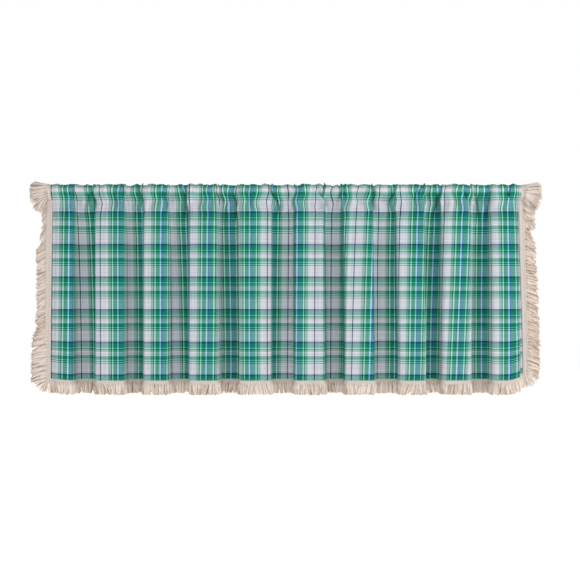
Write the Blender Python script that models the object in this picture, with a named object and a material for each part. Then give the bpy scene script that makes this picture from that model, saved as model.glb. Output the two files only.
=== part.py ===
"""A gathered window valance: a woven plaid panel with a rod pocket, edged on three sides with brush fringe.

Metres, +Z up. The face of the cloth looks along -Y. The origin is the middle of the pocket's top edge,
and the cloth hangs below it. The cloth is a thin sheet that follows one plan of folds: broad crests and
troughs, level in their middles, with a steep wall between each two. The trim is one length of fringe,
parted here at the stitch line and at the hem's corners.
"""

import math
from collections import namedtuple

import bpy
from mathutils import Vector

MM = 0.001

# Cloth and sewing
CLOTH_THICK = 1.4 * MM
SEWN_GAP = 0.3 * MM
HEM_DROP = 424 * MM
PANEL_COLUMNS = 200
PANEL_DROPS = (0.3, 14, 34, 70, 130, 215, 310, 387)

# Rod pocket: a loop of the same cloth, round over the rod and drawn flat at its stitch line
POCKET_DROP = 37 * MM
POCKET_RADIUS = 12.5 * MM
POCKET_SEAM_THICK = 2.6 * MM
POCKET_SEAM_HEIGHT = 4.5 * MM
POCKET_WAIST = -24 * MM
POCKET_WAIST_SHARE = 0.66

# How much of the folds and of the puckers shows on the pocket's front, top and back
Relief = namedtuple("Relief", "folds puckers")
POCKET_FRONT = Relief(0.36, 0.8)
POCKET_TOP = Relief(0.08, 0.4)
POCKET_BACK = Relief(0.3, -0.6)

# Plan of the folds, left to right, in millimetres.
# across: place of its middle. forward: how far it stands out towards the room. wide: from wall to wall.
# drift: how far it has wandered sideways at the hem. cloth: flat place from the left edge.
Fold = namedtuple("Fold", "across forward wide drift cloth")
FOLDS = (
    Fold(-509, 14, 49, -2, 0),
    Fold(-484, 19, 49, -3, 25),
    Fold(-437, -20, 45, 1, 94),
    Fold(-382, 20, 64, 1, 177),
    Fold(-331, -20, 39, 0, 251),
    Fold(-283, 19, 56, 1, 336),
    Fold(-234, -18, 43, 0, 404),
    Fold(-181, 21, 63, 1, 489),
    Fold(-127, -21, 44, 5, 574),
    Fold(-69, 20, 72, -2, 667),
    Fold(-9, -19, 48, 1, 757),
    Fold(49, 19, 66, 0, 833),
    Fold(101, -23, 39, 4, 926),
    Fold(153, 20, 65, 3, 1005),
    Fold(210, -19, 50, 6, 1088),
    Fold(267, 22, 63, 5, 1175),
    Fold(317, -21, 37, -3, 1266),
    Fold(367, 16, 63, 0, 1328),
    Fold(419, -20, 41, 0, 1414),
    Fold(471, 18, 63, 2, 1487),
    Fold(505, -4, 20, 9, 1539),
)
FLAT_WIDTH = FOLDS[-1].cloth * MM
MOST_FORWARD = max(fold.forward for fold in FOLDS) * MM

# How much of the folds' depth the cloth has reached, by its drop below the stitch line in millimetres
Depth = namedtuple("Depth", "drop share")
FOLD_DEPTHS = (Depth(0, 0.34), Depth(40, 0.6), Depth(110, 0.85), Depth(220, 0.97), Depth(387, 1.1))

# A fold's wall: its steepest slope in radians, and the millimetres of cloth in each of its two bends
WALL_STEEPEST = 1.46
WALL_BEND = 12
WALL_STEPS = 48
WALL_TRIES = 40

# Gathers: small uneven puckers along the pocket, which fade out below the stitch line
GATHERS = 52
GATHER_HEIGHT = 3.6 * MM
GATHER_LEAST = 0.4
GATHER_FADE = 52 * MM

# The fringe draws the hem's two corners up
CORNER_REACH = 55 * MM
CORNER_RISE_FROM = 0.6
LEFT_CORNER_RISE = 4 * MM
RIGHT_CORNER_RISE = 13 * MM

# Brush fringe: a woven tape with locks of cut yarn
TAPE_WIDTH = 10 * MM
TAPE_THICK = 2.2 * MM
HEM_LOCK_LENGTH = 21 * MM
CORNER_LOCKS = 7
CORNER_LOCK_LENGTH = 26 * MM
CORNER_DOWN = 18
SIDE_LOCKS = 42
TUFT_LOCKS = 14
TUFT_LOCK_LENGTH = 29 * MM
TUFT_FROM = 0.05
TUFT_FLARE = 0.4
TUFT_FACE_STEP = 0.03
HEM_SWAY = 0.2
HEM_SWAY_OUT = 0.12
LOCK_WAIST = 0.52
LOCK_WAIST_WIDTH = 0.8
LOCK_TIP_WIDTH = 0.5

# Where the side locks' tips lie from the tape, in millimetres, by drop below the top edge
Reach = namedtuple("Reach", "drop out back down")
LEFT_REACH = (
    Reach(37, 20, 14, 16),
    Reach(66, 20, 16, 15),
    Reach(76, 12, 22, 15),
    Reach(115, 12, 22, 13),
    Reach(140, 21, 18, 9),
    Reach(180, 18, 20, 9),
    Reach(268, 18, 20, 9),
    Reach(282, 24, 16, 8),
    Reach(298, 20, 18, 9),
    Reach(335, 29, 5, 6),
    Reach(424, 29, 2, 8),
)
RIGHT_REACH = (
    Reach(37, 27, 8, 12),
    Reach(92, 26, 9, 13),
    Reach(101, 12, 22, 13),
    Reach(114, 16, 21, 11),
    Reach(136, 25, 14, 8),
    Reach(300, 27, 10, 8),
    Reach(380, 25, 6, 8),
    Reach(424, 20, 3, 9),
)

# How far the tuft's locks hang, in degrees, by their place round the pocket's mouth, front to back
Hang = namedtuple("Hang", "share down")
TUFT_HANG = (Hang(0, 56), Hang(0.25, 42), Hang(0.42, 16), Hang(0.5, 8), Hang(0.62, 4), Hang(1, 6))

CLOTH_FINISH = {"colour": (0.33, 0.56, 0.5, 1.0), "roughness": 0.9}
FRINGE_FINISH = {"colour": (0.74, 0.65, 0.56, 1.0), "roughness": 0.95}


def clear_scene():
    for item in list(bpy.data.objects):
        bpy.data.objects.remove(item)


def finish(name, colour, roughness):
    material = bpy.data.materials.new(name)
    material.use_nodes = True
    shader = material.node_tree.nodes["Principled BSDF"]
    shader.inputs["Base Color"].default_value = colour
    shader.inputs["Roughness"].default_value = roughness
    shader.inputs["Metallic"].default_value = 0.0
    return material


def add_piece(name, points, faces, material):
    mesh = bpy.data.meshes.new(name)
    mesh.from_pydata([tuple(point) for point in points], [], faces)
    mesh.materials.append(material)
    mesh.shade_smooth()
    mesh.set_sharp_from_angle(angle=math.radians(60))
    piece = bpy.data.objects.new(name, mesh)
    bpy.context.scene.collection.objects.link(piece)
    return piece


def smooth(share):
    """0 to 1 with level ends."""
    share = min(max(share, 0.0), 1.0)
    return share * share * (3 - 2 * share)


def from_rows(rows, column, place):
    """A row's value, eased between the rows, whose first column is the place in millimetres."""
    at = place / MM
    for low, high in zip(rows, rows[1:]):
        if at <= high[0]:
            share = smooth((at - low[0]) / (high[0] - low[0]))
            return getattr(low, column) * (1 - share) + getattr(high, column) * share
    return getattr(rows[-1], column)


# Folds


def wall_path(before, after):
    """Shares of the run and rise between two folds at equal steps of cloth: level, a bend, steep, a bend, level."""
    run = after.across - before.across
    rise = abs(after.forward - before.forward)
    cloth = after.cloth - before.cloth
    middle = run * before.wide / (before.wide + after.wide) + (cloth - run) / 2
    low, high = -WALL_BEND, cloth / 2
    for _ in range(WALL_TRIES):
        half = (low + high) / 2
        path = [(0.0, 0.0)]
        for step in range(WALL_STEPS):
            from_middle = abs(cloth * (step + 0.5) / WALL_STEPS - middle)
            slope = WALL_STEEPEST * smooth((half + WALL_BEND - from_middle) / WALL_BEND)
            path.append((path[-1][0] + math.cos(slope), path[-1][1] + math.sin(slope)))
        end_run, end_rise = path[-1]
        if end_rise * run > rise * end_run:
            high = half
        else:
            low = half
    return [(along / end_run, climb / end_rise) for along, climb in path]


WALLS = [wall_path(before, after) for before, after in zip(FOLDS, FOLDS[1:])]


def fold_at(flat):
    """Place across, stand forward, drift at the hem and steepness, 0 to 1, at a flat place on the cloth."""
    at = min(max(flat / MM, 0), FOLDS[-1].cloth)
    index = 0
    while index < len(WALLS) - 1 and at > FOLDS[index + 1].cloth:
        index += 1
    before, after = FOLDS[index], FOLDS[index + 1]
    share = (at - before.cloth) / (after.cloth - before.cloth)
    step = min(int(share * WALL_STEPS), WALL_STEPS - 1)
    part = share * WALL_STEPS - step
    run = WALLS[index][step][0] * (1 - part) + WALLS[index][step + 1][0] * part
    rise = WALLS[index][step][1] * (1 - part) + WALLS[index][step + 1][1] * part
    return (
        (before.across + (after.across - before.across) * run) * MM,
        (before.forward + (after.forward - before.forward) * rise) * MM,
        (before.drift + (after.drift - before.drift) * share) * MM,
        math.sin(math.pi * share),
    )


Gather = namedtuple("Gather", "flat height")


def gather_rows():
    """The gathers' tops and bottoms in turn, uneven in pitch and size and deepest on the folds' steep walls."""
    widths = [1 + 0.3 * math.sin(1.7 * index + math.sin(0.61 * index)) for index in range(2 * GATHERS)]
    rows = [Gather(0.0, 0.0)]
    for index, width in enumerate(widths):
        flat = rows[-1].flat + FLAT_WIDTH * width / sum(widths)
        size = 0.75 + 0.25 * math.sin(1.1 * index + 0.5)
        steep = GATHER_LEAST + (1 - GATHER_LEAST) * fold_at(flat)[3]
        rows.append(Gather(flat, GATHER_HEIGHT * size * steep * (-1) ** index))
    return rows


GATHER_ROWS = gather_rows()


def gather_at(flat):
    """The puckers' height at a flat place."""
    for low, high in zip(GATHER_ROWS, GATHER_ROWS[1:]):
        if flat <= high.flat:
            break
    share = smooth((flat - low.flat) / (high.flat - low.flat))
    return low.height * (1 - share) + high.height * share


def cloth_point(flat, drop):
    """The middle of the cloth at a flat place and a drop below the stitch line."""
    across, forward, drift, _ = fold_at(flat)
    length = HEM_DROP - POCKET_DROP
    share = drop / length
    stand = forward * from_rows(FOLD_DEPTHS, "share", drop)
    stand += gather_at(flat) * (1 - smooth(drop / GATHER_FADE))
    left = smooth(1 - flat / CORNER_REACH) * LEFT_CORNER_RISE
    right = smooth(1 - (FLAT_WIDTH - flat) / CORNER_REACH) * RIGHT_CORNER_RISE
    low = smooth((share - CORNER_RISE_FROM) / (1 - CORNER_RISE_FROM))
    rise = (left + right) * low
    return Vector((across + drift * smooth(share), -stand, -POCKET_DROP - drop + rise))


def cloth_normal(flat, drop):
    """Level, square to the cloth, on its front side."""
    step = 2 * MM
    along = cloth_point(min(flat + step, FLAT_WIDTH), drop) - cloth_point(max(flat - step, 0), drop)
    return Vector((along.y, -along.x, 0)).normalized()


def flat_places(count):
    return [FLAT_WIDTH * index / count for index in range(count + 1)]


# Pieces of cloth


def build_panel(material):
    """The gathered sheet from just under the stitch line to the hem."""
    drops = [drop * MM for drop in PANEL_DROPS]
    rows = len(drops)
    points = []
    for flat in flat_places(PANEL_COLUMNS):
        for side in (1, -1):
            for drop in drops:
                middle = cloth_point(flat, drop)
                points.append(middle + cloth_normal(flat, drop) * side * CLOTH_THICK / 2)
    faces = []
    for column in range(PANEL_COLUMNS):
        front = column * 2 * rows
        ahead = front + 2 * rows
        for row in range(rows - 1):
            faces.append((front + row, front + row + 1, ahead + row + 1, ahead + row))
            back, next_back = front + rows + row, ahead + rows + row
            faces.append((back, next_back, next_back + 1, back + 1))
        faces.append((front, ahead, ahead + rows, front + rows))
        low, next_low = front + rows - 1, ahead + rows - 1
        faces.append((low, low + rows, next_low + rows, next_low))
    last = PANEL_COLUMNS * 2 * rows
    for row in range(rows - 1):
        faces.append((row, row + rows, row + rows + 1, row + 1))
        faces.append((last + row, last + row + 1, last + row + rows + 1, last + row + rows))
    return add_piece("panel", points, faces, material)


def pocket_section(flat, inset):
    """The loop of the pocket at a flat place, from its front stitch up over the rod to its back stitch."""
    across, forward, _, _ = fold_at(flat)
    stand = forward * FOLD_DEPTHS[0].share
    most = MOST_FORWARD * FOLD_DEPTHS[0].share
    pucker = gather_at(flat)
    seam = -stand - pucker
    front = POCKET_RADIUS + POCKET_FRONT.folds * (most + stand) + POCKET_FRONT.puckers * pucker - inset
    top = POCKET_TOP.folds * (most + stand) + POCKET_TOP.puckers * (pucker - GATHER_HEIGHT) - inset
    back = POCKET_RADIUS + POCKET_BACK.folds * (most - stand) + POCKET_BACK.puckers * pucker - inset
    centre = -POCKET_RADIUS
    half_seam = max(POCKET_SEAM_THICK / 2 - inset, SEWN_GAP)
    seam_low = -POCKET_DROP + POCKET_SEAM_HEIGHT * inset / CLOTH_THICK
    slant = math.cos(math.radians(45))
    shoulder = centre + (top - centre) * slant
    waist_front = -front * POCKET_WAIST_SHARE + seam * (1 - POCKET_WAIST_SHARE)
    waist_back = back * POCKET_WAIST_SHARE + seam * (1 - POCKET_WAIST_SHARE)
    loop = (
        (seam - half_seam, seam_low),
        (waist_front, POCKET_WAIST),
        (-front, centre),
        (-front * slant, shoulder),
        (0.0, top),
        (back * slant, shoulder),
        (back, centre),
        (waist_back, POCKET_WAIST),
        (seam + half_seam, seam_low),
    )
    return [Vector((across, y, z)) for y, z in loop]


def build_heading(material):
    """The rod pocket: an open tube of cloth, puckered along its whole length."""
    points = []
    for gather in GATHER_ROWS:
        points += pocket_section(gather.flat, 0)
        points += pocket_section(gather.flat, CLOTH_THICK)
    columns = len(GATHER_ROWS) - 1
    loop = len(pocket_section(0, 0))
    faces = []
    for column in range(columns):
        outer = column * 2 * loop
        ahead = outer + 2 * loop
        for index in range(loop):
            following = (index + 1) % loop
            faces.append((outer + index, ahead + index, ahead + following, outer + following))
            near, far = outer + loop, ahead + loop
            faces.append((near + index, near + following, far + following, far + index))
    last = columns * 2 * loop
    for index in range(loop):
        following = (index + 1) % loop
        faces.append((index, following, loop + following, loop + index))
        faces.append((last + index, last + loop + index, last + loop + following, last + following))
    return add_piece("heading", points, faces, material)


# Fringe. A station is a place on the sewn edge, the way out from the cloth and the way to the front.

Station = namedtuple("Station", "place out face")
Lock = namedtuple("Lock", "length way")


def build_fringe(name, stations, locks, material):
    """A tape along the stations with a lock between each two of them."""
    half = TAPE_THICK / 2
    points = []
    for place, out, face in stations:
        for reach in (SEWN_GAP, SEWN_GAP + TAPE_WIDTH):
            points += [place + out * reach + face * half, place + out * reach - face * half]
    faces = []
    for index, lock in enumerate(locks):
        near = index * 4
        far = near + 4
        faces.append((near, near + 2, far + 2, far))
        faces.append((near + 1, far + 1, far + 3, near + 3))
        faces.append((near, far, far + 1, near + 1))
        root = [near + 2, far + 2, far + 3, near + 3]
        corners = [points[corner] for corner in root]
        middle = sum(corners, Vector()) / 4
        across = (corners[1] + corners[2] - corners[0] - corners[3]) / 4
        deep = (corners[0] + corners[1] - corners[2] - corners[3]) / 4
        waist = middle + lock.way * lock.length * LOCK_WAIST
        tip = middle + lock.way * lock.length
        wide = across * LOCK_WAIST_WIDTH
        start = len(points)
        points += [waist - wide + deep, waist + wide + deep, waist + wide - deep, waist - wide - deep]
        points += [tip - across * LOCK_TIP_WIDTH, tip + across * LOCK_TIP_WIDTH]
        for side in range(4):
            other = (side + 1) % 4
            faces.append((root[side], start + side, start + other, root[other]))
        left, right = start + 4, start + 5
        faces.append((start, left, right, start + 1))
        faces.append((start + 2, right, left, start + 3))
        faces.append((start + 1, right, start + 2))
        faces.append((start + 3, left, start))
    last = (len(stations) - 1) * 4
    faces.append((0, 1, 3, 2))
    faces.append((last, last + 2, last + 3, last + 1))
    return add_piece(name, points, faces, material)


def sway(place, size):
    """A slow uneven lean, so that neighbouring locks never cross."""
    return size * (0.6 * math.sin(3.1 * place + 0.4) + 0.4 * math.sin(1.27 * place + 2.0))


def uneven(index, size):
    """A quick uneven change of length, from 1 - size to 1 + size."""
    return 1 + size * math.sin(2.4 * index + 1.1 * math.sin(0.9 * index))


def sideways(face, side):
    """Level and along the cloth, away from its middle: side is -1 at the left and 1 at the right."""
    return Vector((-face.y, face.x, 0)) * side


def corner_stations(flat, side):
    """Stations that turn the hem's corner, from the side's way out towards straight down."""
    place = cloth_point(flat, HEM_DROP - POCKET_DROP)
    face = cloth_normal(flat, HEM_DROP - POCKET_DROP)
    level = sideways(face, side)
    stations = []
    for index in range(CORNER_LOCKS):
        turn = math.radians(90) * index / CORNER_LOCKS
        out = level * math.cos(turn) + Vector((0, 0, -math.sin(turn)))
        stations.append(Station(place, out, face))
    return stations


def corner_locks(flat, side):
    """Locks that fan round the corner."""
    level = sideways(cloth_normal(flat, HEM_DROP - POCKET_DROP), side)
    locks = []
    for index in range(CORNER_LOCKS):
        share = (index + 0.5) / CORNER_LOCKS
        turn = math.radians(CORNER_DOWN + (90 - CORNER_DOWN) * share)
        way = level * math.cos(turn) + Vector((0, 0, -math.sin(turn)))
        length = CORNER_LOCK_LENGTH + (HEM_LOCK_LENGTH - CORNER_LOCK_LENGTH) * share
        locks.append(Lock(length * uneven(index, 0.05), way))
    return locks


def build_hem_fringe(material):
    """The fringe along the hem, turned up round both corners."""
    drop = HEM_DROP - POCKET_DROP
    down = Vector((0, 0, -1))
    hem = [Station(cloth_point(at, drop), down, cloth_normal(at, drop)) for at in flat_places(PANEL_COLUMNS)]
    locks = []
    for index in range(PANEL_COLUMNS):
        face = hem[index].face
        lean = sideways(face, 1) * sway(index * 0.21, HEM_SWAY) + face * sway(index * 0.13, HEM_SWAY_OUT)
        locks.append(Lock(HEM_LOCK_LENGTH * uneven(index, 0.09), (down + lean).normalized()))
    stations = corner_stations(0, -1) + hem + corner_stations(FLAT_WIDTH, 1)[::-1]
    fans = corner_locks(0, -1), corner_locks(FLAT_WIDTH, 1)[::-1]
    return build_fringe("fringe_hem", stations, fans[0] + locks + fans[1], material)


def side_edge(flat, drop):
    """A place on the panel's straight runs between its rows of points."""
    for low, high in zip(PANEL_DROPS, PANEL_DROPS[1:]):
        if drop <= high * MM:
            break
    share = (drop / MM - low) / (high - low)
    return cloth_point(flat, low * MM).lerp(cloth_point(flat, high * MM), share)


def build_side_fringe(name, flat, side, rows, material):
    """The fringe down one side of the panel, from the stitch line to the corner."""
    low = HEM_DROP - POCKET_DROP
    top = 2 * SEWN_GAP
    stations = []
    locks = []
    for index in range(SIDE_LOCKS + 1):
        drop = top + (low - top) * index / SIDE_LOCKS
        face = cloth_normal(flat, drop)
        place = side_edge(flat, drop)
        if index == SIDE_LOCKS:
            place.z += SEWN_GAP
        stations.append(Station(place, sideways(face, side), face))
    for index in range(SIDE_LOCKS):
        face = stations[index].face
        drop = -(stations[index].place.z + stations[index + 1].place.z) / 2
        out = sideways(face, side) * from_rows(rows, "out", drop)
        back = face * -from_rows(rows, "back", drop)
        down = Vector((0, 0, -from_rows(rows, "down", drop)))
        way = (out + back + down) * MM
        locks.append(Lock(way.length * uneven(index, 0.07), way.normalized()))
    if side > 0:
        stations.reverse()
        locks.reverse()
    return build_fringe(name, stations, locks, material)


def build_tuft(name, flat, side, material):
    """The fringe at one end of the pocket, folded with it over the rod, so that it makes a full tuft."""
    loop = pocket_section(flat, CLOTH_THICK / 2)
    lengths = [(after - before).length for before, after in zip(loop, loop[1:])]
    whole = sum(lengths)

    def on_loop(share):
        left = (TUFT_FROM + (1 - 2 * TUFT_FROM) * share) * whole
        for index, length in enumerate(lengths):
            if left <= length or index == len(lengths) - 1:
                return loop[index].lerp(loop[index + 1], left / length)
            left -= length

    level = Vector((side, 0, 0))
    stations = []
    locks = []
    for index in range(TUFT_LOCKS + 1):
        share = index / TUFT_LOCKS
        along = on_loop(min(share + TUFT_FACE_STEP, 1)) - on_loop(max(share - TUFT_FACE_STEP, 0))
        face = Vector((0, -along.z, along.y)).normalized()
        stations.append(Station(on_loop(share), level, face))
    for index in range(TUFT_LOCKS):
        face = (stations[index].face + stations[index + 1].face).normalized()
        hang = math.radians(from_rows(TUFT_HANG, "down", (index + 0.5) / TUFT_LOCKS * MM))
        way = level * math.cos(hang) + Vector((0, 0, -math.sin(hang))) + face * TUFT_FLARE
        locks.append(Lock(TUFT_LOCK_LENGTH * uneven(index, 0.08), way.normalized()))
    if side < 0:
        stations.reverse()
        locks.reverse()
    return build_fringe(name, stations, locks, material)


def main():
    clear_scene()
    cloth = finish("plaid_cloth", **CLOTH_FINISH)
    fringe = finish("brush_fringe", **FRINGE_FINISH)
    build_heading(cloth)
    build_panel(cloth)
    build_hem_fringe(fringe)
    build_side_fringe("fringe_left", 0, -1, LEFT_REACH, fringe)
    build_side_fringe("fringe_right", FLAT_WIDTH, 1, RIGHT_REACH, fringe)
    build_tuft("tuft_left", 0, -1, fringe)
    build_tuft("tuft_right", FLAT_WIDTH, 1, fringe)


main()
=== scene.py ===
"""The looks of a gathered window valance: one plaid cloth with a rod pocket, edged with brush fringe.

Metres, +Z up, the face of the cloth towards -Y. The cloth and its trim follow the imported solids, so the
folds, gathers and fringe are worked out here from the same named sizes. The plaid is in the material, on
the flat cloth's own measures: u runs across it from the left edge and v down it from the pocket's top.
"""

import math
import random
from bisect import bisect_left
from collections import namedtuple

import bpy
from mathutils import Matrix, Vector, noise


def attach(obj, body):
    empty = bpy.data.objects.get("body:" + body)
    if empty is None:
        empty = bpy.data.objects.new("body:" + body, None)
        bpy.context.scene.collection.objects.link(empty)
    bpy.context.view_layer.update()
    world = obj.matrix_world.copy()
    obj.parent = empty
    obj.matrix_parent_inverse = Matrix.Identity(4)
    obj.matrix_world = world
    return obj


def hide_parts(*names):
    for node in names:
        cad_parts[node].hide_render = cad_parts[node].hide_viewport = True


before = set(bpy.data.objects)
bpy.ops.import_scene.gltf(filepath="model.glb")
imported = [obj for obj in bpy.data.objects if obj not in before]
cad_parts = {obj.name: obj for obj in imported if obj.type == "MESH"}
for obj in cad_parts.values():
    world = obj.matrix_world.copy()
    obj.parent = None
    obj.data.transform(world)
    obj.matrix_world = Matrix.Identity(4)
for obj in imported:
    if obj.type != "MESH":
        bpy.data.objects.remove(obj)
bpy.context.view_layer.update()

random.seed(7)
MM = 0.001
DOWN = Vector((0, 0, -1))

# Cloth and pocket, in the solids' own sizes
CLOTH_THICK = 1.4 * MM
HEM_DROP = 424 * MM
POCKET_DROP = 37 * MM
POCKET_RADIUS = 12.5 * MM
POCKET_SEAM_THICK = 2.6 * MM
POCKET_SEAM_HEIGHT = 4.5 * MM
POCKET_WAIST = -24 * MM
POCKET_WAIST_SHARE = 0.66
SHOULDER_TURN = 45
PANEL_LENGTH = HEM_DROP - POCKET_DROP

# How much of the folds and of the puckers shows on each side of the pocket
Relief = namedtuple("Relief", "folds puckers")
POCKET_FRONT = Relief(0.36, 0.8)
POCKET_TOP = Relief(0.08, 0.45)
POCKET_BACK = Relief(0.3, -0.6)

# The folds' plan in millimetres: place across of each middle, stand forward, width from wall to wall,
# drift at the hem, flat place on the cloth, and how far the stripes have slipped to the left at the top
# and at the hem
Fold = namedtuple("Fold", "across forward wide drift cloth slip_top slip_low")
FOLDS = (
    Fold(-509, 14, 49, -2, 0, 3, 0),
    Fold(-484, 19, 49, -3, 25, 4, 2),
    Fold(-437, -20, 45, 1, 94, 8, -1),
    Fold(-382, 20, 64, 1, 177, 1, -0.5),
    Fold(-331, -20, 39, 0, 251, 6, 3),
    Fold(-283, 19, 56, 1, 336, 1, 2.5),
    Fold(-234, -18, 43, 0, 404, 10, 0),
    Fold(-181, 21, 63, 1, 489, 2, 6),
    Fold(-127, -21, 44, 5, 574, 3, 4),
    Fold(-69, 20, 72, -2, 667, -2, -3),
    Fold(-9, -19, 48, 1, 757, -3, 2.5),
    Fold(49, 19, 66, 0, 833, 0, 3),
    Fold(101, -23, 39, 4, 926, -2, 5),
    Fold(153, 20, 65, 3, 1005, -7, 11),
    Fold(210, -19, 50, 6, 1088, -5, 5),
    Fold(267, 22, 63, 5, 1175, -4, 12.5),
    Fold(317, -21, 37, -3, 1266, -8, 0),
    Fold(367, 16, 63, 0, 1328, 0, 16.5),
    Fold(419, -20, 41, 0, 1414, -3, -2),
    Fold(471, 18, 63, 2, 1487, 2, 4),
    Fold(505, -4, 20, 9, 1539, 0, 3),
)
FLAT_WIDTH = FOLDS[-1].cloth * MM
MOST_FORWARD = max(fold.forward for fold in FOLDS) * MM

# How much of their depth the folds have reached, by the drop below the stitch line in millimetres
Depth = namedtuple("Depth", "drop share")
FOLD_DEPTHS = (Depth(0, 0.34), Depth(40, 0.6), Depth(110, 0.85), Depth(220, 0.97), Depth(387, 1.1))

# A fold's wall: its steepest slope in radians, the millimetres of cloth in each bend, the steps along it
# and the tries at how much of it is steep
WALL_STEEPEST = 1.46
WALL_BEND = 12
WALL_STEPS = 48
WALL_TRIES = 40

GATHERS = 52
GATHER_HEIGHT = 3.6 * MM
GATHER_LEAST = 0.4
GATHER_FADE = 52 * MM
GATHER_PITCH_SPREAD = 0.3
GATHER_SIZE_SPREAD = 0.25

CORNER_REACH = 55 * MM
CORNER_RISE_FROM = 0.6
LEFT_CORNER_RISE = 4 * MM
RIGHT_CORNER_RISE = 13 * MM

# The cloth's mesh
COLUMNS = 690
PANEL_ROWS = 33
PANEL_CROWDING = 1.5
POCKET_STEPS = 4
WOVEN_THICK = 0.7 * MM
TURNED_EDGE = 3 * MM

# The woven rows lie level up to this place on the pocket's loop
LEVEL_PLACES = 2

# Wrinkles finer than the solids' gathers, as noise: waves a metre across and down, and size
Ripple = namedtuple("Ripple", "across down size seed")
PUCKER = Ripple(72, 26, 9.0 * MM, 3.0)
WANDER = Ripple(28, 34, 7.0 * MM, 11.0)
SLACK = Ripple(24, 5, 1.6 * MM, 19.0)
CRIMP = Ripple(180, 60, 3.0 * MM, 27.0)
RIPPLE_FADE = 45 * MM
CALM_EDGE = 24 * MM
GATHER_LEAN = 9 * MM
LEAN_WAVES = 14

# Deep pleats that the pocket's stitching pinches, in millimetres: place across and height of the middle,
# sideways lean for each millimetre of height, half width, reach up and down, depth, and how far it draws
# the cloth beside it in
Pinch = namedtuple("Pinch", "across height lean wide up down deep draw")
PINCHES = (
    Pinch(-432, -30, 0.1, 3.5, 9, 16, 7.5, 3.2),
    Pinch(-417, -32, -0.1, 4, 14, 30, 12.5, 4.8),
    Pinch(-352, -33, 0.1, 3.5, 8, 14, 5, 3.2),
    Pinch(-313, -31, -0.15, 4, 12, 30, 12.5, 4.8),
    Pinch(-274, -24, 0.1, 3.5, 9, 14, 7.5, 3.2),
    Pinch(-219, -30, -0.05, 4.5, 14, 34, 12.5, 4.8),
    Pinch(-149, -26, -0.4, 3.5, 11, 12, 7.5, 3.2),
    Pinch(-133, -34, 0.1, 4, 10, 40, 8.8, 4.8),
    Pinch(-112, -34, -0.1, 4, 14, 40, 11.2, 4.8),
    Pinch(-29, -31, -0.45, 4, 16, 30, 12.5, 4.8),
    Pinch(40, -27, 0.1, 3.5, 8, 12, 5, 3.2),
    Pinch(77, -30, -0.5, 4, 18, 16, 13.8, 4.8),
    Pinch(115, -26, 0.5, 4, 9, 10, 8.8, 3.2),
    Pinch(188, -32, 0.1, 4, 12, 18, 12.5, 4.8),
    Pinch(226, -31, 0.15, 4, 14, 30, 12.5, 4.8),
    Pinch(280, -20, 0.5, 3.5, 9, 10, 6.2, 3.2),
    Pinch(324, -32, 0.1, 4.5, 12, 30, 11.2, 4.8),
    Pinch(387, -26, -0.6, 3.5, 14, 14, 8.8, 3.2),
    Pinch(412, -34, -0.1, 4, 12, 36, 11.2, 4.8),
    Pinch(440, -34, 0.1, 4, 12, 36, 11.2, 4.8),
    Pinch(477, -24, -0.4, 3.5, 10, 12, 7.5, 3.2),
)
PINCH_REACH = 3

# Brush fringe, as in the solids
TAPE_WIDTH = 10 * MM
HEM_LOCK_LENGTH = 21 * MM
CORNER_LOCK_LENGTH = 26 * MM
CORNER_DOWN = 18
TUFT_FLARE = 0.4
TUFT_FACE_STEP = 0.03
HEM_SWAY = 0.34
HEM_SWAY_OUT = 0.12
SOLID_LOCK = 7.7 * MM

Reach = namedtuple("Reach", "drop out back down")
LEFT_REACH = (
    Reach(37, 15, 12, 10),
    Reach(60, 13, 14, 10),
    Reach(76, 13, 16, 11),
    Reach(108, 15, 16, 12),
    Reach(136, 24, 16, 9),
    Reach(180, 22, 16, 9),
    Reach(268, 21, 16, 9),
    Reach(282, 24, 16, 8),
    Reach(298, 20, 18, 9),
    Reach(335, 29, 5, 6),
    Reach(424, 29, 2, 8),
)
RIGHT_REACH = (
    Reach(37, 27, 8, 12),
    Reach(76, 26, 9, 13),
    Reach(83, 13, 22, 13),
    Reach(98, 16, 21, 11),
    Reach(124, 25, 14, 8),
    Reach(300, 27, 10, 8),
    Reach(380, 25, 6, 8),
    Reach(424, 20, 3, 9),
)

# A tuft's yarns by their share of the way round the pocket's mouth: degrees below level, and length
Hang = namedtuple("Hang", "share down long")
TUFT_HANG = (
    Hang(0, 74, 25),
    Hang(0.04, 60, 36),
    Hang(0.1, 46, 38),
    Hang(0.18, 26, 36),
    Hang(0.28, 10, 34),
    Hang(0.42, -2, 32),
    Hang(0.5, -8, 29),
    Hang(1, 4, 29),
)


# Shared sums


def smooth(share):
    """0 to 1 with level ends."""
    share = min(max(share, 0.0), 1.0)
    return share * share * (3 - 2 * share)


def from_rows(rows, column, at):
    """A column's value at a place, eased between the rows. The rows' first column holds their places."""
    for low, high in zip(rows, rows[1:]):
        if at <= high[0]:
            share = smooth((at - low[0]) / (high[0] - low[0]))
            return getattr(low, column) * (1 - share) + getattr(high, column) * share
    return getattr(rows[-1], column)


def ripple(kind, across, down):
    """Smooth noise about zero, at two measures of the cloth."""
    place = Vector((across * kind.across, down * kind.down, kind.seed))
    return kind.size * noise.noise(place)


# The cloth's shape


Wall = namedtuple("Wall", "path length steep_from steep_to")


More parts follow.
